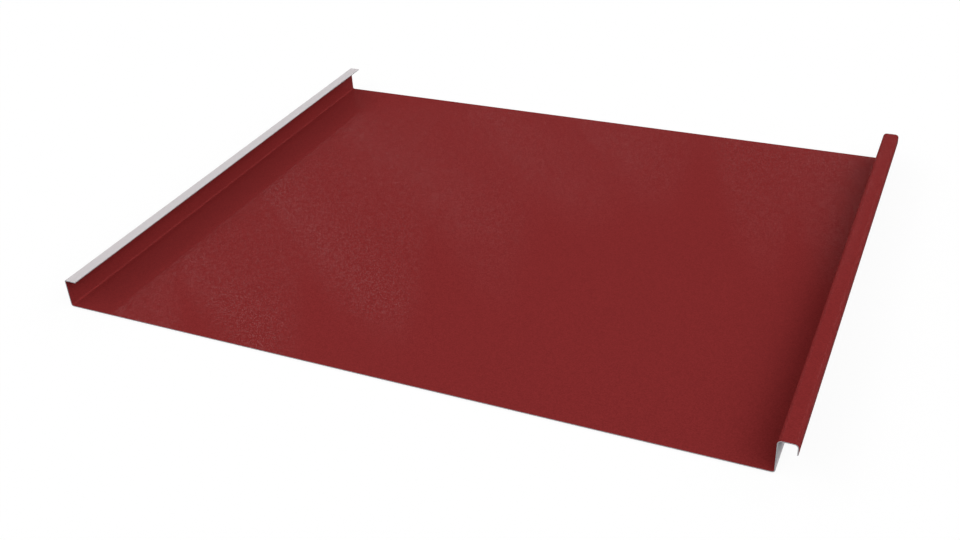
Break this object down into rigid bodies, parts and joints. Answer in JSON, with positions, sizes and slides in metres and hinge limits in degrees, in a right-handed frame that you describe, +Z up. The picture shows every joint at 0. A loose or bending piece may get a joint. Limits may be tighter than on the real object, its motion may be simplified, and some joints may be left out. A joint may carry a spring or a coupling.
{
  "type": "standing seam roof panel",
  "caption": "Flat pan of coated sheet steel with a small folded seam along one edge and a capped, lipped seam along the other that closes over the next panel.",
  "frame": {"origin": "centre of the panel's box, on the underside of the pan", "axes": "+X across the panel from the small seam to the big seam, +Y along the length, +Z up out of the painted face"},
  "size_m": [0.5624, 0.45, 0.0257],
  "materials": {
    "coated_steel": "satin"
  },
  "bodies": {
    "root": {"panel_sheet": "coated_steel"}
  },
  "joints": []
}
